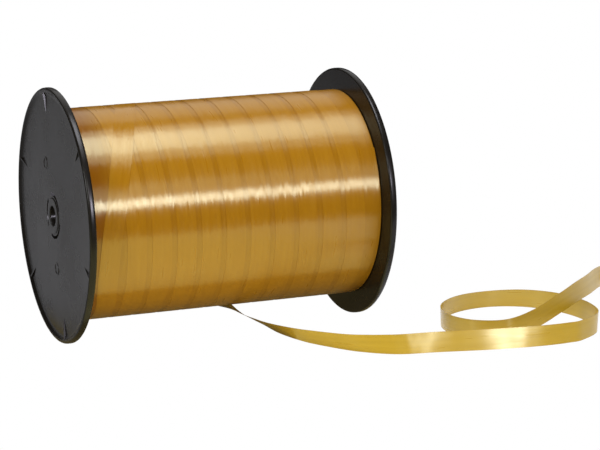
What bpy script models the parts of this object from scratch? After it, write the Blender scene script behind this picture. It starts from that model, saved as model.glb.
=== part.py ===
"""A black plastic spool of gold curling ribbon, with the ribbon's free end lying beside it.

Metres, +Z up. The spool lies on its two flanges with its axis along X, and the origin is on the
ground under the spool's middle. Left is -X. The ribbon comes off the underside of the winding
and stands on its edge on the ground, in one loop that passes over itself.

The spool is two moulded flanges, a drum between them that carries the ribbon, and a centre
tube. A spigot on each flange plugs into the centre tube, and a ring rib on each flange
centres the drum. An axle or peg passes through the bores of the spigots.
"""

import math

import bmesh
import bpy
from mathutils import Vector

# Driving dimensions.
FLANGE_RADIUS = 0.0625
SPOOL_LENGTH = 0.1558
WOUND_RADIUS = 0.0520
DRUM_RADIUS = 0.0365
BORE_RADIUS = 0.005
RIBBON_WIDTH = 0.010

# Walls and clearances.
FLANGE_EDGE = 0.0035
DISC_WALL = 0.0021
LIP_WALL = 0.0017
DRUM_WALL = 0.0018
TUBE_WALL = 0.0017
CLEARANCE = 0.0003
EDGE_BREAK = 0.0007
LIP_FILLET = 0.0010
TAIL_THICKNESS = 0.0006

# The flange's hub: a spigot inside, a low boss outside, and three slots round it. The disc's
# outer face is a shallow cone, which rises from the lip to the hub.
HUB_RADIUS = 0.014
HUB_RISE = 0.0009
SPIGOT_RADIUS = 0.009
SPIGOT_LENGTH = 0.012
BOSS_RISE = 0.0004
SLOT_RADII = (0.0098, 0.0113)
BRIDGE_ANGLES = (5, 126, 234)
BRIDGE_WIDTH = 30

# The ring rib that centres the drum, and the fins that brace the lip.
RIB_WALL = 0.0016
RIB_HEIGHT = 0.003
FIN_COUNT = 6
FIRST_FIN = 43
FIN_LENGTH = 0.013
FIN_THICKNESS = 0.001

HALF_LENGTH = SPOOL_LENGTH / 2
INNER_FACE = HALF_LENGTH - FLANGE_EDGE
DISC_FACE = INNER_FACE + DISC_WALL
HUB_FACE = DISC_FACE + HUB_RISE
LIP_RADIUS = FLANGE_RADIUS - LIP_WALL
FLANGE_STEPS = 72
TUBE_STEPS = 48

# The free end of the ribbon, from the winding to the cut. Each row is a point of its middle
# line on the ground plan, the height of its lower edge, and its roll: 0 degrees is flat, with
# the winding's outer face down, and 90 is on edge. Metres and degrees.
TAIL_ROUTE = (
    (0.0090, 0.0080, 0.0092, 0),
    (0.0090, 0.0010, 0.0089, 3),
    (0.0098, -0.0065, 0.0078, 14),
    (0.0122, -0.0140, 0.0061, 27),
    (0.0152, -0.0200, 0.0047, 28),
    (0.0186, -0.0260, 0.0032, 32),
    (0.0240, -0.0373, 0.0009, 43),
    (0.0330, -0.0545, 0.0000, 55),
    (0.0460, -0.0722, 0.0000, 66),
    (0.0555, -0.0805, 0.0000, 76),
    (0.0645, -0.0857, 0.0000, 86),
    (0.0710, -0.0878, 0.0000, 92),
    (0.0775, -0.0888, 0.0000, 96),
    (0.0850, -0.0898, 0.0000, 99),
    (0.0930, -0.0913, 0.0000, 101),
    (0.1015, -0.0932, 0.0000, 102),
    (0.1100, -0.0950, 0.0000, 103),
    (0.1180, -0.0964, 0.0000, 104),
    (0.1255, -0.0975, 0.0000, 104),
    (0.1330, -0.0985, 0.0000, 103),
    (0.1430, -0.0994, 0.0000, 101),
    (0.1530, -0.0994, 0.0000, 98),
    (0.1620, -0.0978, 0.0000, 95),
    (0.1765, -0.0871, 0.0000, 88),
    (0.1805, -0.0680, 0.0000, 86),
    (0.1755, -0.0485, 0.0000, 92),
    (0.1625, -0.0335, 0.0000, 102),
    (0.1440, -0.0275, 0.0000, 108),
    (0.1250, -0.0315, 0.0000, 102),
    (0.1105, -0.0445, 0.0000, 90),
    (0.1060, -0.0605, 0.0000, 84),
    (0.1120, -0.0755, 0.0000, 84),
    (0.1270, -0.0840, 0.0006, 86),
    (0.1435, -0.0825, 0.0036, 90),
    (0.1605, -0.0770, 0.0086, 94),
    (0.1730, -0.0700, 0.0112, 98),
    (0.1860, -0.0590, 0.0113, 102),
    (0.1990, -0.0450, 0.0103, 104),
    (0.2120, -0.0310, 0.0072, 100),
    (0.2270, -0.0200, 0.0029, 94),
    (0.2460, -0.0130, 0.0000, 90),
)
TAIL_STEPS = 3


def clear_scene():
    for obj in list(bpy.data.objects):
        bpy.data.objects.remove(obj)


def plastic(name, colour, roughness):
    material = bpy.data.materials.new(name)
    material.use_nodes = True
    shader = material.node_tree.nodes["Principled BSDF"]
    shader.inputs["Base Color"].default_value = (*colour, 1.0)
    shader.inputs["Roughness"].default_value = roughness
    shader.inputs["Metallic"].default_value = 0.0
    return material


def object_from(name, bm, material, height=0.0):
    """The bmesh as an object at this height, with its faces turned outwards."""
    bmesh.ops.recalc_face_normals(bm, faces=bm.faces)
    mesh = bpy.data.meshes.new(name)
    bm.to_mesh(mesh)
    bm.free()
    mesh.shade_smooth()
    mesh.set_sharp_from_angle(angle=math.radians(30))
    obj = bpy.data.objects.new(name, mesh)
    obj.location.z = height
    if material is not None:
        mesh.materials.append(material)
    bpy.context.scene.collection.objects.link(obj)
    return obj


def bridge_rings(bm, rings, closed):
    """Faces between rings of corners, and end caps where the last ring doesn't meet the first."""
    following = rings[1:] + rings[:1] if closed else rings[1:]
    for ring, after in zip(rings, following):
        for j in range(len(ring)):
            k = (j + 1) % len(ring)
            bm.faces.new((ring[j], ring[k], after[k], after[j]))
    if not closed:
        bm.faces.new(rings[0])
        bm.faces.new(rings[-1][::-1])


def turn(bm, outline, steps, start=0.0, sweep=360.0):
    """Turns a closed outline of (x, radius) corners about X. Degrees run from -Y up to +Z."""
    closed = sweep == 360.0
    rings = []
    for i in range(steps if closed else steps + 1):
        angle = math.radians(start + sweep * i / steps)
        across, up = -math.cos(angle), math.sin(angle)
        rings.append([bm.verts.new((x, r * across, r * up)) for x, r in outline])
    bridge_rings(bm, rings, closed)


def full_turn(name, outline, steps, material):
    """A ring with a flat facet at its lowest point, on the spool's axis."""
    bm = bmesh.new()
    turn(bm, outline, steps, start=180.0 / steps)
    return object_from(name, bm, material, FLANGE_RADIUS)


def flange_outline(side):
    """The flange's half section. The rim's facets touch the flange's true radius."""
    rim = FLANGE_RADIUS / math.cos(math.pi / FLANGE_STEPS)
    rib_outer = DRUM_RADIUS - DRUM_WALL - CLEARANCE
    boss = HUB_FACE + BOSS_RISE
    inwards = (
        (INNER_FACE - SPIGOT_LENGTH, BORE_RADIUS),
        (boss, BORE_RADIUS),
        (boss, SPIGOT_RADIUS - BOSS_RISE),
        (HUB_FACE, SPIGOT_RADIUS),
        (HUB_FACE, HUB_RADIUS),
        (DISC_FACE, LIP_RADIUS - LIP_FILLET),
        (DISC_FACE + LIP_FILLET, LIP_RADIUS),
        (HALF_LENGTH, LIP_RADIUS),
        (HALF_LENGTH, rim - EDGE_BREAK),
        (HALF_LENGTH - EDGE_BREAK, rim),
        (INNER_FACE + EDGE_BREAK, rim),
        (INNER_FACE, rim - EDGE_BREAK),
        (INNER_FACE, rib_outer),
        (INNER_FACE - RIB_HEIGHT, rib_outer),
        (INNER_FACE - RIB_HEIGHT, rib_outer - RIB_WALL),
        (INNER_FACE, rib_outer - RIB_WALL),
        (INNER_FACE, SPIGOT_RADIUS),
        (INNER_FACE - SPIGOT_LENGTH, SPIGOT_RADIUS),
    )
    return [(side * x, r) for x, r in inwards]


def helper(name, bm):
    """A hidden body for a Boolean, on the spool's axis."""
    obj = object_from(name, bm, None, FLANGE_RADIUS)
    obj.hide_render = True
    obj.display_type = "WIRE"
    return obj


def slot_cutters(name, side):
    """Three arcs through the disc, which leave three bridges between them."""
    bm = bmesh.new()
    ends = (side * (INNER_FACE - CLEARANCE), side * (HUB_FACE + CLEARANCE))
    outline = [(x, r) for x, r in zip((*ends, *ends[::-1]), sorted(SLOT_RADII * 2))]
    for this, following in zip(BRIDGE_ANGLES, BRIDGE_ANGLES[1:] + BRIDGE_ANGLES[:1]):
        start = this + BRIDGE_WIDTH / 2
        sweep = (following - this) % 360 - BRIDGE_WIDTH
        turn(bm, outline, 12, start, sweep)
    return helper(name, bm)


def fins(name, side):
    """Triangular fins in the corner between the disc and the lip, sunk a little into both."""
    bm = bmesh.new()
    sunk = LIP_WALL / 2
    corners = (
        (side * (DISC_FACE - sunk), LIP_RADIUS + sunk),
        (side * (HALF_LENGTH - CLEARANCE), LIP_RADIUS + sunk),
        (side * (HALF_LENGTH - CLEARANCE), LIP_RADIUS - FIN_THICKNESS),
        (side * DISC_FACE, LIP_RADIUS - FIN_LENGTH),
        (side * (DISC_FACE - sunk), LIP_RADIUS - FIN_LENGTH),
    )
    for i in range(FIN_COUNT):
        angle = math.radians(FIRST_FIN + 360 * i / FIN_COUNT)
        outwards = Vector((0, -math.cos(angle), math.sin(angle)))
        sideways = Vector((0, math.sin(angle), math.cos(angle))) * FIN_THICKNESS / 2
        rings = [
            [bm.verts.new(Vector((x, 0, 0)) + outwards * r + offset) for x, r in corners]
            for offset in (-sideways, sideways)
        ]
        bridge_rings(bm, rings, closed=False)
    return helper(name, bm)


def combine(obj, other, operation):
    modifier = obj.modifiers.new(other.name, "BOOLEAN")
    modifier.operation = operation
    modifier.object = other


def flange(name, side, material):
    obj = full_turn(name, flange_outline(side), FLANGE_STEPS, material)
    combine(obj, fins(name + "_fins", side), "UNION")
    combine(obj, slot_cutters(name + "_slot_cutters", side), "DIFFERENCE")
    return obj


def tube(name, inner, outer, steps, material):
    """A plain tube that fills the space between the flanges, less the clearance."""
    end = INNER_FACE - CLEARANCE
    outline = [(-end, inner), (end, inner), (end, outer), (-end, outer)]
    return full_turn(name, outline, steps, material)


def winding(material):
    """The wound ribbon as one thick ring, a little rounded at its two shoulders."""
    end = INNER_FACE - CLEARANCE
    inner = DRUM_RADIUS + CLEARANCE
    shoulder = WOUND_RADIUS - EDGE_BREAK
    outline = [
        (-end, inner),
        (end, inner),
        (end, shoulder),
        (end - 3 * EDGE_BREAK, WOUND_RADIUS),
        (-end + 3 * EDGE_BREAK, WOUND_RADIUS),
        (-end, shoulder),
    ]
    return full_turn("ribbon_winding", outline, FLANGE_STEPS, material)


def smooth_route(rows, steps):
    """Catmull-Rom points through the rows, which may hold any number of values each."""
    first = [2 * a - b for a, b in zip(rows[0], rows[1])]
    last = [2 * a - b for a, b in zip(rows[-1], rows[-2])]
    padded = [first, *rows, last]
    points = []
    for p0, p1, p2, p3 in zip(padded, padded[1:], padded[2:], padded[3:]):
        for i in range(steps):
            t = i / steps
            points.append([
                (2 * b + (c - a) * t + (2 * a - 5 * b + 4 * c - d) * t**2
                 + (3 * (b - c) + d - a) * t**3) / 2
                for a, b, c, d in zip(p0, p1, p2, p3)
            ])
    points.append(rows[-1])
    return points


def tail_sections():
    """(middle, half width, half thickness) vectors along the free end, in metres."""
    points = smooth_route(TAIL_ROUTE, TAIL_STEPS)
    middles, rolls = [], []
    for x, y, rise, roll in points:
        rolls.append(math.radians(roll))
        half_height = RIBBON_WIDTH / 2 * math.sin(rolls[-1])
        middles.append(Vector((x, y, max(rise, 0) + half_height + CLEARANCE)))
    sections = []
    for i, (middle, roll) in enumerate(zip(middles, rolls)):
        along = middles[min(i + 1, len(middles) - 1)] - middles[max(i - 1, 0)]
        level = Vector((-along.y, along.x, 0)).normalized()
        down = level.cross(along).normalized()
        if down.z > 0:
            down.negate()
        width = level * math.cos(roll) + down * math.sin(roll)
        face = width.cross(along).normalized()
        sections.append((middle, width * RIBBON_WIDTH / 2, face * TAIL_THICKNESS / 2))
    return sections


def tail(material):
    bm = bmesh.new()
    rings = []
    for middle, width, face in tail_sections():
        corners = (width + face, width - face, -width - face, -width + face)
        rings.append([bm.verts.new(middle + corner) for corner in corners])
    bridge_rings(bm, rings, closed=False)
    return object_from("ribbon_tail", bm, material)


def main():
    clear_scene()
    black = plastic("black_plastic", (0.035, 0.034, 0.033), 0.38)
    grey = plastic("core_plastic", (0.05, 0.05, 0.05), 0.5)
    gold = plastic("gold_ribbon", (0.55, 0.33, 0.06), 0.3)
    flange("flange_left", -1, black)
    flange("flange_right", 1, black)
    tube("centre_tube", SPIGOT_RADIUS + CLEARANCE, SPIGOT_RADIUS + CLEARANCE + TUBE_WALL, TUBE_STEPS, grey)
    tube("winding_drum", DRUM_RADIUS - DRUM_WALL, DRUM_RADIUS, FLANGE_STEPS, grey)
    winding(gold)
    tail(gold)


main()
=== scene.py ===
"""The looks of the spool of gold curling ribbon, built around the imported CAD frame.

Metres, +Z up, the spool's axis along X. Left is -X. An angle round the spool is 0 degrees
towards -Y, the camera's side, and 90 degrees straight up.
"""

import math

import bmesh
import bpy
import numpy as np
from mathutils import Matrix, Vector

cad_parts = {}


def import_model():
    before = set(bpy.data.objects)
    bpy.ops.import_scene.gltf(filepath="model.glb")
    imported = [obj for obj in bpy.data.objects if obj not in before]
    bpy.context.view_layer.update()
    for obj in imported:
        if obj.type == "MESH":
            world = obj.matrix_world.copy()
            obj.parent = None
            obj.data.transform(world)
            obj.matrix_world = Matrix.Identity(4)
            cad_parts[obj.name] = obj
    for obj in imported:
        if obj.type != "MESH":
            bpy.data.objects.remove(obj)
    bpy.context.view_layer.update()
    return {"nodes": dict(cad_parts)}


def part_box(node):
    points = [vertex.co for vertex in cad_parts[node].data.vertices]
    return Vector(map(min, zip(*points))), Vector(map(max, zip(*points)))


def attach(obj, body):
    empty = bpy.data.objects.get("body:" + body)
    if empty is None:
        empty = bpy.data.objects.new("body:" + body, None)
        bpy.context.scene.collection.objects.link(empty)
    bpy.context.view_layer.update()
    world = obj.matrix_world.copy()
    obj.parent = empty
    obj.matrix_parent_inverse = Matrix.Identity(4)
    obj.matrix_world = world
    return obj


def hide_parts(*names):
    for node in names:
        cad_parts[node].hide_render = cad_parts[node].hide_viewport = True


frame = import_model()

# The camera. Its azimuth and elevation are in degrees, and its lens and sensor in millimetres.
CAMERA_PLACE = (-0.3859, -1.0867, 0.3262)
CAMERA_AZIMUTH = -21.94
CAMERA_ELEVATION = 13.43
CAMERA_LENS = 142.4
SENSOR_WIDTH = 36.0

# The ribbon.
RIBBON_WIDTH = 0.010
RIBBON_THICKNESS = 0.00005
LAYER_GAP = 0.00003
WIDTH_STEPS = 4
SHARP_ANGLE = math.radians(35)

# The free end, from the winding to the cut: a point of the middle line on the ground plan, the
# height of the lower edge, and the roll. At 0 degrees the ribbon is flat with the winding's
# outer face down, and at 90 it is on edge.
TAIL_ROUTE = (
    (0.0090, 0.0080, 0.0092, 0),
    (0.0090, 0.0010, 0.0089, 3),
    (0.0098, -0.0065, 0.0078, 14),
    (0.0122, -0.0140, 0.0061, 27),
    (0.0152, -0.0200, 0.0047, 28),
    (0.0186, -0.0260, 0.0032, 32),
    (0.0240, -0.0373, 0.0009, 43),
    (0.0330, -0.0545, 0.0000, 55),
    (0.0460, -0.0722, 0.0000, 66),
    (0.0555, -0.0805, 0.0000, 76),
    (0.0645, -0.0857, 0.0000, 86),
    (0.0710, -0.0878, 0.0000, 92),
    (0.0775, -0.0888, 0.0000, 96),
    (0.0850, -0.0898, 0.0000, 99),
    (0.0930, -0.0913, 0.0000, 101),
    (0.1015, -0.0932, 0.0000, 102),
    (0.1100, -0.0950, 0.0000, 103),
    (0.1180, -0.0964, 0.0000, 104),
    (0.1255, -0.0975, 0.0000, 104),
    (0.1330, -0.0985, 0.0000, 103),
    (0.1430, -0.0994, 0.0000, 101),
    (0.1530, -0.0994, 0.0000, 98),
    (0.1620, -0.0978, 0.0000, 95),
    (0.1765, -0.0871, 0.0000, 88),
    (0.1805, -0.0680, 0.0000, 86),
    (0.1755, -0.0485, 0.0000, 92),
    (0.1625, -0.0335, 0.0000, 102),
    (0.1440, -0.0275, 0.0000, 108),
    (0.1250, -0.0315, 0.0000, 102),
    (0.1105, -0.0445, 0.0000, 90),
    (0.1060, -0.0605, 0.0000, 84),
    (0.1120, -0.0755, 0.0000, 84),
    (0.1270, -0.0840, 0.0006, 86),
    (0.1435, -0.0825, 0.0036, 90),
    (0.1605, -0.0770, 0.0086, 94),
    (0.1730, -0.0700, 0.0112, 98),
    (0.1860, -0.0590, 0.0113, 102),
    (0.1990, -0.0450, 0.0103, 104),
    (0.2120, -0.0310, 0.0072, 100),
    (0.2270, -0.0200, 0.0029, 94),
    (0.2460, -0.0130, 0.0000, 90),
)
TAIL_STEPS = 8
TAIL_CLEARANCE = 0.0003

# Sizes that the frame gives.
FLANGE_LOW, FLANGE_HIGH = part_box("flange_left")
AXIS_HEIGHT = (FLANGE_LOW.z + FLANGE_HIGH.z) / 2
FLANGE_RADIUS = (FLANGE_HIGH.z - FLANGE_LOW.z) / 2
HALF_LENGTH = -FLANGE_LOW.x
WOUND_LOW, WOUND_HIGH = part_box("ribbon_winding")
WOUND_END = WOUND_HIGH.x
WOUND_RADIUS = (WOUND_HIGH.z - WOUND_LOW.z) / 2
DRUM_LOW, DRUM_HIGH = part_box("winding_drum")
DRUM_RADIUS = (DRUM_HIGH.z - DRUM_LOW.z) / 2

# The winding. Each turn moves on by more than the ribbon's width, so the layer below shows.
TURN_PITCH = 0.01245
ANGLE_STEP = 2.5
BODY_SHOULDER = 0.0006
BODY_STEPS = 144

# The flanges: wall sizes, the hub with its slots, and the fins that brace the lip.
FLANGE_EDGE = 0.0035
DISC_WALL = 0.0021
LIP_WALL = 0.0017
LIP_SLOPE = 0.0016
DRUM_WALL = 0.0018
CLEARANCE = 0.0003
BORE_RADIUS = 0.005
SPIGOT_RADIUS = 0.009
SPIGOT_LENGTH = 0.012
BOSS_RISE = 0.0004
HUB_RADIUS = 0.014
HUB_RISE = 0.0009
SLOT_RADII = (0.0098, 0.0113)
SLOT_STEPS = 32
BRIDGE_ANGLES = (5, 126, 234)
BRIDGE_WIDTH = 30
RIB_WALL = 0.0016
RIB_HEIGHT = 0.003
FIN_ANGLES = range(43, 403, 60)
FIN_LENGTH = 0.013
FIN_THICKNESS = 0.0007
INNER_FACE = HALF_LENGTH - FLANGE_EDGE
DISC_FACE = INNER_FACE + DISC_WALL
HUB_FACE = DISC_FACE + HUB_RISE
LIP_RADIUS = FLANGE_RADIUS - LIP_WALL
FLANGE_STEPS = 240

# Two plain round mould marks on each disc: the angle, and the distance from the axis.
MOULD_MARKS = ((118, 0.027), (277, 0.026))
MARK_RADIUS = 0.0028
MARK_BEAD = 0.0004
MARK_RISE = 0.00025
MARK_STEPS = 32
BEAD_STEPS = 8

# Colours. Each tint multiplies the colour under it.
# Painted shade: a darker tint over the last share of the ribbon's width at both edges, as a shadow line
# along each lap.
EDGE_SHADE_SHARE = 0.03
EDGE_SHADE_TINT = (0.85, 0.78, 0.66, 1)
# Painted shade: from the shade's start to its full along X, the layers below turn browner towards the
# left flange, as if the flange shaded them.
SHADE_START = -0.058
SHADE_FULL = -0.068
SHADE_TINT = (0.74, 0.60, 0.45, 1)
WHITE = (1, 1, 1, 1)
GOLD_GLOSS = (0.97, 1.0, 0.62, 1)

# The studio, which isn't part of the object. The floor is what the camera sees, and the cards
# just above it are what the spool and the ribbon mirror.
FLOOR_HEIGHT = -0.0006
CARD_HEIGHT = -0.0003
CARD_LEFT, CARD_RIGHT = -0.085, 0.085
CARD_FRONT, CARD_BACK = -0.045, 0.06
CARD_NEAR = -0.25
CARD_FAR = 1.2

# The last turn, from where the top layer turns back at the left flange to where the free end
# leaves: the angle round the spool, and the place of the ribbon's middle along X.
LAST_TURN = (
    (-50, -0.0623),
    (-27, -0.0646),
    (-10, -0.0644),
    (4, -0.0629),
    (16, -0.0606),
    (32, -0.0571),
    (57, -0.0500),
    (90, -0.0400),
    (135, -0.0285),
    (180, -0.0160),
    (225, -0.0030),
    (250, 0.0048),
    (261, 0.0090),
)
LAST_TURN_STEPS = 12

# It climbs onto the top layer between these two angles, and from the lift's start on it comes
# off the winding to meet the free end.
CLIMB_ANGLES = (-40, 10)
LIFT_START = 200


def camera():
    """The scene's camera, at the photographer's place."""
    data = bpy.data.cameras.new("camera")
    data.lens = CAMERA_LENS
    data.sensor_width = SENSOR_WIDTH
    obj = bpy.data.objects.new("camera", data)
    obj.location = CAMERA_PLACE
    obj.rotation_euler = (math.radians(90 - CAMERA_ELEVATION), 0, math.radians(CAMERA_AZIMUTH))
    bpy.context.scene.collection.objects.link(obj)
    bpy.context.scene.camera = obj


def smooth_route(rows, steps):
    """Catmull-Rom points through the rows, which may hold any number of values each."""
    first = [2 * a - b for a, b in zip(rows[0], rows[1])]
    last = [2 * a - b for a, b in zip(rows[-1], rows[-2])]
    padded = [first, *rows, last]
    points = []
    for p0, p1, p2, p3 in zip(padded, padded[1:], padded[2:], padded[3:]):
        for i in range(steps):
            t = i / steps
            points.append([
                (2 * b + (c - a) * t + (2 * a - 5 * b + 4 * c - d) * t**2
                 + (3 * (b - c) + d - a) * t**3) / 2
                for a, b, c, d in zip(p0, p1, p2, p3)
            ])
    points.append(rows[-1])
    return points


def strip_rings(middles, widths, across):
    """Round each middle, the corners of a thin slab: one face at these shares, then the other."""
    along = np.gradient(middles, axis=0)
    faces = np.cross(widths, along)
    faces *= RIBBON_THICKNESS / 2 / np.linalg.norm(faces, axis=1, keepdims=True)
    corners = [(share, 1) for share in across] + [(share, -1) for share in across[::-1]]
    rings = [middles + widths * share + faces * face for share, face in corners]
    return np.stack(rings, axis=1)


def strip_faces(count, us, vs):
    """The quads and caps over this many rings, and the UV of each of their corners."""
    ring = len(us) - 1
    quads, coords = [], []
    for i in range(count - 1):
        for j in range(ring):
            k = (j + 1) % ring
            quads.append((i * ring + j, i * ring + k, (i + 1) * ring + k, (i + 1) * ring + j))
            coords += [(us[j], vs[i]), (us[j + 1], vs[i])]
            coords += [(us[j + 1], vs[i + 1]), (us[j], vs[i + 1])]
    for i, order in ((0, range(ring - 1, -1, -1)), (count - 1, range(ring))):
        quads.append([i * ring + j for j in order])
        coords += [(us[j], vs[i]) for j in order]
    return quads, coords


def ribbon_strip(name, middles, widths, material):
    """A long thin slab along the middles, whose half width at each is a vector across it.

    Its UV map unrolls it: U runs across and V along, and one unit is the ribbon's width.
    """
    middles, widths = np.array(middles), np.array(widths)
    across = np.linspace(-1, 1, WIDTH_STEPS + 1)
    rings = strip_rings(middles, widths, across)
    edge = RIBBON_THICKNESS / RIBBON_WIDTH
    us = np.concatenate([(across + 1) / 2, (across + 3) / 2 + edge, [2 + 2 * edge]])
    run = np.linalg.norm(np.diff(middles, axis=0), axis=1)
    vs = np.concatenate([[0], np.cumsum(run)]) / RIBBON_WIDTH
    quads, coords = strip_faces(len(middles), us, vs)
    return finished(name, uv_mesh(name, rings.reshape(-1, 3).tolist(), quads, coords), material)


def uv_mesh(name, points, faces, coords):
    """A mesh with the ribbon UV map, given the UV of each face's corners in turn."""
    mesh = bpy.data.meshes.new(name)
    mesh.from_pydata(points, [], faces)
    layer = mesh.uv_layers.new(name="ribbon")
    layer.data.foreach_set("uv", np.array(coords, np.float32).ravel())
    return mesh


def finished(name, mesh, material):
    mesh.materials.append(material)
    mesh.shade_smooth()
    mesh.set_sharp_from_angle(angle=SHARP_ANGLE)
    obj = bpy.data.objects.new(name, mesh)
    bpy.context.scene.collection.objects.link(obj)
    return obj


def tail_frames():
    """The middles of the free end, and at each the vector of half its width."""
    points = smooth_route(TAIL_ROUTE, TAIL_STEPS)
    middles = []
    for x, y, rise, roll in points:
        half_height = RIBBON_WIDTH / 2 * math.sin(math.radians(roll))
        middles.append(Vector((x, y, max(rise, 0) + half_height + TAIL_CLEARANCE)))
    widths = []
    for i, (*_, roll) in enumerate(points):
        along = middles[min(i + 1, len(middles) - 1)] - middles[max(i - 1, 0)]
        level = Vector((-along.y, along.x, 0)).normalized()
        down = level.cross(along).normalized()
        if down.z > 0:
            down.negate()
        angle = math.radians(roll)
        widths.append((level * math.cos(angle) + down * math.sin(angle)) * RIBBON_WIDTH / 2)
    return middles, widths


def free_ribbon(material):
    middles, widths = tail_frames()
    piece = ribbon_strip("free_ribbon", middles, widths, material)
    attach(piece, "root")
    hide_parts("ribbon_tail")


def wound_point(x, angle, radius):
    """The point at this angle round the spool, in degrees."""
    turn = math.radians(angle)
    return Vector((x, -radius * math.cos(turn), AXIS_HEIGHT + radius * math.sin(turn)))


def wound_strip(name, path, material):
    """A ribbon wound along a path of (angle, x, radius) rows."""
    middles = [wound_point(x, angle, radius) for angle, x, radius in path]
    widths = []
    for i, (angle, x, radius) in enumerate(path):
        along = middles[min(i + 1, len(middles) - 1)] - middles[max(i - 1, 0)]
        outwards = wound_point(0, angle, 1) - wound_point(0, angle, 0)
        widths.append(along.cross(outwards).normalized() * RIBBON_WIDTH / 2)
    return ribbon_strip(name, middles, widths, material)


def layer_radius(depth):
    """The middle of a layer. The last turn is at depth 0 and the top layer at depth 1."""
    return WOUND_RADIUS - RIBBON_THICKNESS / 2 - depth * (RIBBON_THICKNESS + LAYER_GAP)


def angles(start, end):
    count = max(1, round((end - start) / ANGLE_STEP))
    return [start + (end - start) * i / count for i in range(count + 1)]


def top_layer_path():
    """Left along the spool at the pitch, then back across it as the last turn."""
    first_angle, first_x = LAST_TURN[0]
    reach = WOUND_END - RIBBON_WIDTH / 2
    start = first_angle - 360 * (reach - first_x) / TURN_PITCH
    path = [
        (angle, first_x + TURN_PITCH * (first_angle - angle) / 360, layer_radius(1))
        for angle in angles(start, first_angle)[:-1]
    ]
    last_angle = LAST_TURN[-1][0]
    smooth = np.array(smooth_route(LAST_TURN, LAST_TURN_STEPS))
    last_radius = AXIS_HEIGHT - TAIL_ROUTE[0][2] - TAIL_CLEARANCE
    for angle in angles(first_angle, last_angle):
        x = float(np.interp(angle, smooth[:, 0], smooth[:, 1]))
        depth = np.interp(angle, CLIMB_ANGLES, (1, 0))
        lifted = np.interp(angle, (LIFT_START, last_angle), (0, 1)) ** 2
        radius = layer_radius(depth) * (1 - lifted) + last_radius * lifted
        path.append((angle, x, float(radius)))
    return path


def lower_layer_path():
    """The layer below, which runs the other way along the spool."""
    reach = WOUND_END - RIBBON_WIDTH / 2
    sweep = 360 * 2 * reach / TURN_PITCH
    return [
        (angle, -reach + TURN_PITCH * angle / 360, layer_radius(2))
        for angle in angles(0, sweep)
    ]


def winding_body(material):
    """The wound layers below the two that show, as one ring with rounded shoulders."""
    outer = layer_radius(2) - RIBBON_THICKNESS / 2 - LAYER_GAP
    inner = DRUM_RADIUS + LAYER_GAP
    left_end = [(-WOUND_END, inner), (-WOUND_END, outer - BODY_SHOULDER)]
    left_end += [
        (
            -WOUND_END + BODY_SHOULDER * (1 - math.cos(a)),
            outer - BODY_SHOULDER * (1 - math.sin(a)),
        )
        for a in np.linspace(0, math.pi / 2, 5)[1:]
    ]
    xs = np.linspace(-WOUND_END + BODY_SHOULDER, WOUND_END - BODY_SHOULDER, 30)[1:-1]
    right_end = [(-x, r) for x, r in reversed(left_end)]
    outline = left_end + [(x, outer) for x in xs] + right_end
    return revolved("winding_body", outline, BODY_STEPS, material)


def revolved(name, outline, steps, material):
    """A ring turned about the spool's axis, with U along its outline and V round it."""
    run = [0.0]
    for (x0, r0), (x1, r1) in zip(outline, outline[1:] + outline[:1]):
        run.append(run[-1] + math.hypot(x1 - x0, r1 - r0) / RIBBON_WIDTH)
    verts, quads, coords = [], [], []
    count = len(outline)
    step = 2 * math.pi * WOUND_RADIUS / steps / RIBBON_WIDTH
    for i in range(steps):
        verts += [wound_point(x, 360 * i / steps, r) for x, r in outline]
        for j in range(count):
            k = (j + 1) % count
            n = (i + 1) % steps
            quads.append((i * count + j, i * count + k, n * count + k, n * count + j))
            v = (step * i, step * (i + 1))
            coords += [(run[j], v[0]), (run[j + 1], v[0]), (run[j + 1], v[1]), (run[j], v[1])]
    mesh = uv_mesh(name, [tuple(v) for v in verts], quads, coords)
    bm = bmesh.new()
    bm.from_mesh(mesh)
    bmesh.ops.recalc_face_normals(bm, faces=bm.faces)
    bm.to_mesh(mesh)
    bm.free()
    return finished(name, mesh, material)


def wound_ribbon(material, shaded_lower_material):
    # The body and the layer below take the darker copy of the gold, as painted shade under the top
    # layer.
    pieces = [
        winding_body(shaded_lower_material),
        wound_strip("winding_lower_layer", lower_layer_path(), shaded_lower_material),
        wound_strip("winding_top_layer", top_layer_path(), material),
    ]
    for piece in pieces:
        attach(piece, "root")
        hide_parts("ribbon_winding")


def bezier(a, b, c, steps):
    return [
        tuple((1 - t) ** 2 * p + 2 * t * (1 - t) * q + t**2 * r for p, q, r in zip(a, b, c))
        for t in (i / steps for i in range(steps + 1))
    ]


def rounded(corners, steps=5):
    """The outline through (x, radius, rounding) corners, each one rounded over by that much."""
    outline = []
    previous = corners[-1:] + corners[:-1]
    following = corners[1:] + corners[:1]
    for before, (x, r, rounding), after in zip(previous, corners, following):
        if rounding == 0:
            outline.append((x, r))
            continue
        ends = []
        for other in (before, after):
            span = math.hypot(other[0] - x, other[1] - r)
            ends.append((x + (other[0] - x) * rounding / span, r + (other[1] - r) * rounding / span))
        outline += bezier(ends[0], (x, r), ends[1], steps)
    return outline


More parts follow.
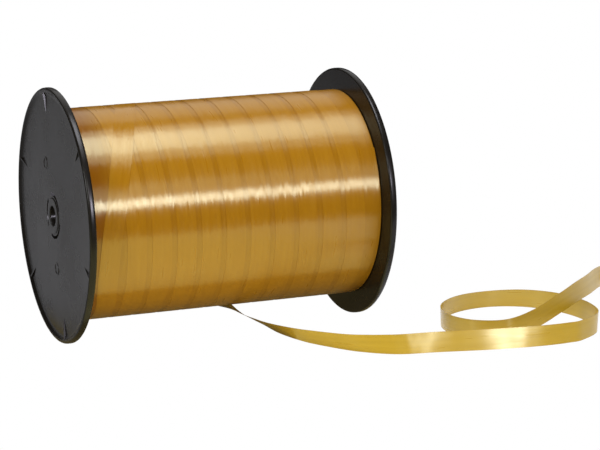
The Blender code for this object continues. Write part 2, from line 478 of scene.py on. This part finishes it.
def flange_outline():
    """The right flange's half section."""
    rib = DRUM_RADIUS - DRUM_WALL - CLEARANCE
    boss = HUB_FACE + BOSS_RISE
    return rounded([
        (INNER_FACE - SPIGOT_LENGTH, BORE_RADIUS, 0.0003),
        (boss, BORE_RADIUS, 0.0004),
        (boss, SPIGOT_RADIUS - BOSS_RISE, 0.0002),
        (HUB_FACE, SPIGOT_RADIUS, 0.0002),
        (HUB_FACE, HUB_RADIUS, 0.0040),
        (DISC_FACE, LIP_RADIUS - LIP_SLOPE, LIP_SLOPE),
        (HALF_LENGTH, LIP_RADIUS, 0.0008),
        (HALF_LENGTH, FLANGE_RADIUS, 0.0014),
        (INNER_FACE, FLANGE_RADIUS, 0.0010),
        (INNER_FACE, rib, 0.0003),
        (INNER_FACE - RIB_HEIGHT, rib, 0.0004),
        (INNER_FACE - RIB_HEIGHT, rib - RIB_WALL, 0.0004),
        (INNER_FACE, rib - RIB_WALL, 0.0003),
        (INNER_FACE, SPIGOT_RADIUS, 0.0008),
        (INNER_FACE - SPIGOT_LENGTH, SPIGOT_RADIUS, 0.0006),
    ])


def mirrored(outline, side):
    return [(side * x, r) for x, r in outline]


def ring_faces(bm, rings, closed):
    """Faces between rings of corners, and end caps where the last ring doesn't meet the first."""
    following = rings[1:] + rings[:1] if closed else rings[1:]
    for ring, after in zip(rings, following):
        for j in range(len(ring)):
            k = (j + 1) % len(ring)
            bm.faces.new((ring[j], ring[k], after[k], after[j]))
    if not closed:
        bm.faces.new(rings[0])
        bm.faces.new(rings[-1][::-1])


def slot_bodies(bm, side):
    """The arcs through the disc round the hub, with a bridge between each two."""
    low, high = INNER_FACE - CLEARANCE, HUB_FACE + CLEARANCE
    inner, outer = SLOT_RADII
    outline = [(low, inner), (high, inner), (high, outer), (low, outer)]
    for this, following in zip(BRIDGE_ANGLES, BRIDGE_ANGLES[1:] + BRIDGE_ANGLES[:1]):
        start = this + BRIDGE_WIDTH / 2
        sweep = (following - this) % 360 - BRIDGE_WIDTH
        rings = []
        for i in range(SLOT_STEPS + 1):
            angle = start + sweep * i / SLOT_STEPS
            rings.append([bm.verts.new(wound_point(side * x, angle, r)) for x, r in outline])
        ring_faces(bm, rings, closed=False)


def fin_bodies(bm, side):
    """Triangular fins in the corner between the disc and the lip, sunk a little into both."""
    sunk = LIP_WALL / 2
    corners = (
        (DISC_FACE - sunk, LIP_RADIUS + sunk),
        (HALF_LENGTH - CLEARANCE, LIP_RADIUS + sunk),
        (HALF_LENGTH - CLEARANCE, LIP_RADIUS - FIN_THICKNESS),
        (DISC_FACE, LIP_RADIUS - FIN_LENGTH),
        (DISC_FACE - sunk, LIP_RADIUS - FIN_LENGTH),
    )
    for angle in FIN_ANGLES:
        sideways = (wound_point(0, angle + 90, 1) - wound_point(0, angle - 90, 1)) / 2
        rings = []
        for share in (-0.5, 0.5):
            offset = sideways * FIN_THICKNESS * share
            points = [wound_point(side * x, angle, r) + offset for x, r in corners]
            rings.append([bm.verts.new(point) for point in points])
        ring_faces(bm, rings, closed=False)


def cone_face(radius):
    """How far out along X the disc's outer face is, at this distance from the axis."""
    share = (radius - HUB_RADIUS) / (LIP_RADIUS - LIP_SLOPE - HUB_RADIUS)
    return HUB_FACE - HUB_RISE * share


def mark_bodies(bm, side):
    """A low round bead for each mould mark."""
    for angle, distance in MOULD_MARKS:
        centre = wound_point(side * cone_face(distance), angle, distance)
        rings = []
        for i in range(MARK_STEPS):
            turn = 2 * math.pi * i / MARK_STEPS
            out = Vector((0, math.cos(turn), math.sin(turn)))
            ring = []
            for j in range(BEAD_STEPS):
                around_bead = 2 * math.pi * j / BEAD_STEPS
                radius = MARK_RADIUS + MARK_BEAD * math.cos(around_bead)
                rise = Vector((side * MARK_RISE * math.sin(around_bead), 0, 0))
                ring.append(bm.verts.new(centre + out * radius + rise))
            rings.append(ring)
        ring_faces(bm, rings, closed=True)


def helper(name, build, side):
    """A hidden body for a Boolean."""
    bm = bmesh.new()
    build(bm, side)
    bmesh.ops.recalc_face_normals(bm, faces=bm.faces)
    mesh = bpy.data.meshes.new(name)
    bm.to_mesh(mesh)
    bm.free()
    obj = bpy.data.objects.new(name, mesh)
    bpy.context.scene.collection.objects.link(obj)
    return obj


def combine(obj, build, operation, side):
    """Joins or cuts a helper, and keeps the result as the object's own mesh."""
    other = helper(obj.name + "_helper", build, side)
    modifier = obj.modifiers.new("combine", "BOOLEAN")
    modifier.operation = operation
    modifier.object = other
    graph = bpy.context.evaluated_depsgraph_get()
    result = bpy.data.meshes.new_from_object(obj.evaluated_get(graph))
    obj.modifiers.clear()
    obj.data = result
    bpy.data.objects.remove(other)


def flange(name, node, side, material):
    piece = revolved(name, mirrored(flange_outline(), side), FLANGE_STEPS, material)
    combine(piece, fin_bodies, "UNION", side)
    combine(piece, mark_bodies, "UNION", side)
    combine(piece, slot_bodies, "DIFFERENCE", side)
    piece.data.shade_smooth()
    piece.data.set_sharp_from_angle(angle=SHARP_ANGLE)
    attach(piece, "root")
    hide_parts(node)


def add(tree, kind, **values):
    """A node, with its properties or its input sockets set."""
    made = tree.nodes.new(kind)
    for key, value in values.items():
        if hasattr(made, key):
            setattr(made, key, value)
        else:
            made.inputs[key.replace("_", " ")].default_value = value
    return made


def material_with_shader(name):
    material = bpy.data.materials.new(name)
    material.use_nodes = True
    return material, material.node_tree, material.node_tree.nodes["Principled BSDF"]


def ribbon_noise(tree, across, along, detail=2.0):
    """Noise on the unrolled ribbon, with these many features in a ribbon's width each way."""
    coords = add(tree, "ShaderNodeTexCoord")
    mapping = add(tree, "ShaderNodeMapping")
    mapping.inputs["Scale"].default_value = (across, along, 1)
    noise = add(tree, "ShaderNodeTexNoise", Scale=1.0, Detail=detail)
    tree.links.new(coords.outputs["UV"], mapping.inputs["Vector"])
    tree.links.new(mapping.outputs["Vector"], noise.inputs["Vector"])
    return noise.outputs["Fac"]


def summed(tree, first, second):
    made = add(tree, "ShaderNodeMath", operation="ADD")
    tree.links.new(first, made.inputs[0])
    tree.links.new(second, made.inputs[1])
    return made.outputs["Value"]


def ranged(tree, value, low, high):
    """The middle of a noise's range, stretched to run from low to high."""
    made = add(tree, "ShaderNodeMapRange")
    made.inputs["From Min"].default_value = 0.3
    made.inputs["From Max"].default_value = 0.7
    made.inputs["To Min"].default_value = low
    made.inputs["To Max"].default_value = high
    tree.links.new(value, made.inputs["Value"])
    return made.outputs["Result"]


def tilted_normal(tree, amount):
    """The normal leant along the ribbon, by an amount that differs from streak to streak."""
    links = tree.links
    geometry = add(tree, "ShaderNodeNewGeometry")
    tangent = add(tree, "ShaderNodeTangent", direction_type="UV_MAP", uv_map="ribbon")
    lengthwise = add(tree, "ShaderNodeVectorMath", operation="CROSS_PRODUCT")
    links.new(geometry.outputs["Normal"], lengthwise.inputs[0])
    links.new(tangent.outputs["Tangent"], lengthwise.inputs[1])
    lean = add(tree, "ShaderNodeVectorMath", operation="SCALE")
    links.new(lengthwise.outputs["Vector"], lean.inputs[0])
    fine = ranged(tree, ribbon_noise(tree, 14, 0.8), -amount, amount)
    broad = ranged(tree, ribbon_noise(tree, 4.0, 0.35), -amount / 3, amount / 3)
    links.new(summed(tree, fine, broad), lean.inputs["Scale"])
    total = add(tree, "ShaderNodeVectorMath", operation="ADD")
    links.new(geometry.outputs["Normal"], total.inputs[0])
    links.new(lean.outputs["Vector"], total.inputs[1])
    unit = add(tree, "ShaderNodeVectorMath", operation="NORMALIZE")
    links.new(total.outputs["Vector"], unit.inputs[0])
    return unit.outputs["Vector"], tangent.outputs["Tangent"]


def blended(tree, value, low, high, start=0.3, end=0.7):
    """A colour that turns from low to high as the value goes from start to end."""
    ramp = add(tree, "ShaderNodeValToRGB")
    first, last = ramp.color_ramp.elements
    first.position, first.color = start, low
    last.position, last.color = end, high
    tree.links.new(value, ramp.inputs["Fac"])
    return ramp


def part_of(tree, space, axis):
    """One axis of a texture coordinate."""
    coords = add(tree, "ShaderNodeTexCoord")
    split = add(tree, "ShaderNodeSeparateXYZ")
    tree.links.new(coords.outputs[space], split.inputs["Vector"])
    return split.outputs[axis]


def painted_edge_shade(tree):
    """White over the ribbon, and painted shade: a darker, browner tint in the last part of its width at
    both edges.
    """
    across = add(tree, "ShaderNodeMath", operation="FRACT")
    tree.links.new(part_of(tree, "UV", "X"), across.inputs[0])
    ramp = blended(tree, across.outputs["Value"], EDGE_SHADE_TINT, EDGE_SHADE_TINT, 0.0, 1.0)
    for position in (EDGE_SHADE_SHARE, 1 - EDGE_SHADE_SHARE):
        ramp.color_ramp.elements.new(position).color = WHITE
    return ramp.outputs["Color"]


def painted_flange_shade(tree):
    """Painted shade: browner close to the left flange, as if the flange shaded the winding there. It
    falls on the layer below, which is bare there beside the last turn.
    """
    place = add(tree, "ShaderNodeMapRange")
    place.inputs["From Min"].default_value = SHADE_FULL
    place.inputs["From Max"].default_value = SHADE_START
    tree.links.new(part_of(tree, "Object", "X"), place.inputs["Value"])
    return blended(tree, place.outputs["Result"], SHADE_TINT, WHITE, 0.0, 1.0).outputs["Color"]


def multiplied(tree, first, second):
    made = add(tree, "ShaderNodeMix", data_type="RGBA", blend_type="MULTIPLY")
    made.inputs["Factor"].default_value = 1.0
    tree.links.new(first, made.inputs["A"])
    tree.links.new(second, made.inputs["B"])
    return made.outputs["Result"]


def gold_ribbon(name, dark, light, lean, below=False):
    """Glossy gold film, whose gloss is wide across the ribbon and narrow along it."""
    material, tree, shader = material_with_shader(name)
    links = tree.links
    streaks = blended(tree, ribbon_noise(tree, 6, 0.3), (*dark, 1), (*light, 1))
    # Painted shade: a darker line along both edges of the ribbon.
    colour = multiplied(tree, streaks.outputs["Color"], painted_edge_shade(tree))
    # Painted shade from the left flange, on the layers below only.
    if below:
        colour = multiplied(tree, colour, painted_flange_shade(tree))
    links.new(colour, shader.inputs["Base Color"])
    links.new(ranged(tree, ribbon_noise(tree, 4, 0.4), 0.27, 0.34), shader.inputs["Roughness"])
    normal, tangent = tilted_normal(tree, lean)
    bump = add(tree, "ShaderNodeBump", Strength=0.15, Distance=0.00002)
    links.new(ribbon_noise(tree, 40, 0.4, 4.0), bump.inputs["Height"])
    links.new(normal, bump.inputs["Normal"])
    links.new(bump.outputs["Normal"], shader.inputs["Normal"])
    links.new(tangent, shader.inputs["Tangent"])
    shader.inputs["IOR"].default_value = 1.75
    shader.inputs["Specular Tint"].default_value = GOLD_GLOSS
    shader.inputs["Anisotropic"].default_value = 0.93
    return material


def black_plastic(name, base, low, high):
    """Moulded plastic with a faint mottle and a fine grain, of roughness from low to high."""
    material, tree, shader = material_with_shader(name)
    links = tree.links
    coords = add(tree, "ShaderNodeTexCoord")
    mottle = add(tree, "ShaderNodeTexNoise", Scale=60.0, Detail=4.0)
    links.new(coords.outputs["Object"], mottle.inputs["Vector"])
    darker, lighter = ((*(c * share for c in base), 1) for share in (0.8, 1.25))
    ramp = blended(tree, mottle.outputs["Fac"], darker, lighter)
    links.new(ramp.outputs["Color"], shader.inputs["Base Color"])
    links.new(ranged(tree, mottle.outputs["Fac"], low, high), shader.inputs["Roughness"])
    grain = add(tree, "ShaderNodeTexNoise", Scale=2500.0, Detail=3.0)
    links.new(coords.outputs["Object"], grain.inputs["Vector"])
    bump = add(tree, "ShaderNodeBump", Strength=0.2, Distance=0.00003)
    links.new(grain.outputs["Fac"], bump.inputs["Height"])
    links.new(bump.outputs["Normal"], shader.inputs["Normal"])
    shader.inputs["Specular IOR Level"].default_value = 0.2
    return material


def area_light(name, place, size, strength, colour=(1, 1, 1), shadows=True):
    """A softbox facing the spool. Its strength is the brightness of its face."""
    data = bpy.data.lights.new(name, "AREA")
    data.shape = "RECTANGLE"
    data.size, data.size_y = size
    data.energy = strength * size[0] * size[1] * math.pi
    data.color = colour
    data.use_shadow = shadows
    obj = bpy.data.objects.new(name, data)
    obj.location = place
    aim = Vector((0, 0, AXIS_HEIGHT)) - Vector(place)
    obj.rotation_euler = aim.to_track_quat("-Z", "Y").to_euler()
    obj.visible_camera = False
    bpy.context.scene.collection.objects.link(obj)


def around(azimuth, elevation, distance):
    """A place this far from the spool's middle. Azimuth 0 is towards -Y and turns to +X."""
    az, el = math.radians(azimuth), math.radians(elevation)
    return (
        distance * math.cos(el) * math.sin(az),
        -distance * math.cos(el) * math.cos(az),
        AXIS_HEIGHT + distance * math.sin(el),
    )


def stage_plane(name, low, high, height, material):
    """A level rectangle of the studio, which isn't part of the object."""
    mesh = bpy.data.meshes.new(name)
    corners = [(low[0], low[1]), (high[0], low[1]), (high[0], high[1]), (low[0], high[1])]
    mesh.from_pydata([(x, y, height) for x, y in corners], [], [(0, 1, 2, 3)])
    mesh.materials.append(material)
    obj = bpy.data.objects.new(name, mesh)
    bpy.context.scene.collection.objects.link(obj)
    return obj


def paper(name, shade, glow, tint=(1, 1, 1)):
    """Matt paper for the studio, which glows by itself."""
    material, tree, shader = material_with_shader(name)
    shader.inputs["Base Color"].default_value = (*(shade * c for c in tint), 1)
    shader.inputs["Roughness"].default_value = 1.0
    shader.inputs["Specular IOR Level"].default_value = 0.0
    shader.inputs["Emission Color"].default_value = (*tint, 1)
    shader.inputs["Emission Strength"].default_value = glow
    return material


def lights():
    area_light("front_light", around(13, 18.4, 2.2), (0.15, 0.32), 170.0, (0.88, 0.84, 0.98), False)
    area_light("fill_light", around(-6, 32, 2.2), (0.35, 0.5), 13.0)
    area_light("left_light", around(-62, 24, 2.2), (0.5, 0.6), 20.0)
    area_light("top_light", around(0, 87, 1.5), (0.9, 0.62), 8.4, (0.94, 0.94, 1.0))
    area_light("top_spread", around(0, 86, 1.45), (0.9, 1.15), 3.9, (0.94, 0.94, 1.0))
    area_light("back_light", around(180, 40, 2.5), (3.0, 1.6), 0.8)


def floor():
    """An evenly white floor, which only the camera sees."""
    plane = stage_plane("floor", (-5, -5), (5, 5), FLOOR_HEIGHT, paper("floor_paper", 0.0, 1.0))
    for kind in ("diffuse", "glossy", "transmission", "volume_scatter", "shadow"):
        setattr(plane, "visible_" + kind, False)


def cards():
    """The cards on the table, which everything but the camera sees."""
    bright = paper("table_glow", 0.60, 0.60, (1, 0.93, 0.45))
    # Painted light and shade: the card under the spool glows gold, for light the winding throws onto
    # the table, and is dim, for the spool's shadow there.
    gold_bounce_card = paper("table_painted_gold_bounce", 0.22, 0.12, (1, 0.8, 0.35))
    plain = paper("table_beside", 0.60, 0.42)
    dim = paper("table_shade", 0.24, 0.06)
    # Painted shadow: the dark card behind the spool stands for the table in its shade.
    dark = paper("table_painted_shadow", 0.06, 0.02, (1, 0.9, 0.7))
    for name, low, high, material in (
        ("table_front", (-CARD_FAR, CARD_NEAR), (CARD_RIGHT, CARD_FRONT), bright),
        ("table_under", (CARD_LEFT, CARD_FRONT), (CARD_RIGHT, CARD_BACK), gold_bounce_card),
        ("table_behind", (CARD_LEFT, CARD_BACK), (CARD_RIGHT, CARD_FAR), dark),
        ("table_beside", (CARD_RIGHT, CARD_NEAR), (CARD_FAR, CARD_FAR), plain),
        ("table_left", (-CARD_FAR, CARD_FRONT), (CARD_LEFT, CARD_FAR), dim),
    ):
        stage_plane(name, low, high, CARD_HEIGHT, material).visible_camera = False


def world():
    """White to the camera, and nearly dark to everything else."""
    made = bpy.data.worlds.new("studio")
    bpy.context.scene.world = made
    made.use_nodes = True
    background = made.node_tree.nodes["Background"]
    path = made.node_tree.nodes.new("ShaderNodeLightPath")
    strength = made.node_tree.nodes.new("ShaderNodeMapRange")
    strength.inputs["To Min"].default_value = 0.03
    strength.inputs["To Max"].default_value = 1.0
    made.node_tree.links.new(path.outputs["Is Camera Ray"], strength.inputs["Value"])
    made.node_tree.links.new(strength.outputs["Result"], background.inputs["Strength"])
    background.inputs["Color"].default_value = (1, 1, 1, 1)
    bpy.context.scene.view_settings.view_transform = "Standard"


def cad_materials(core):
    """The looks of the two inner pieces, which keep the frame's own meshes."""
    for name in ("centre_tube", "winding_drum"):
        frame["nodes"][name].data.materials[0] = core


camera()
# The free end is a lighter, yellower copy of the gold: painted light, for light shining through its
# single layer.
free_ribbon(gold_ribbon("gold_free_ribbon_painted_light", (0.335, 0.205, 0.0085), (0.370, 0.232, 0.012), 0.005))
# The layers below are a darker copy of the gold: painted shade in the hollows under the top layer's
# turns.
wound_ribbon(
    gold_ribbon("gold_wound_ribbon", (0.262, 0.113, 0.0024), (0.284, 0.128, 0.0034), 0.018),
    gold_ribbon("gold_lower_ribbon_painted_shade", (0.238, 0.100, 0.0020), (0.256, 0.113, 0.0028), 0.018, below=True),
)
satin_black = black_plastic("satin_black", (0.0078, 0.0066, 0.0050), 0.22, 0.30)
flange("left_flange", "flange_left", -1, satin_black)
flange("right_flange", "flange_right", 1, satin_black)
cad_materials(black_plastic("core_plastic", (0.03, 0.03, 0.03), 0.5, 0.6))
lights()
floor()
cards()
world()
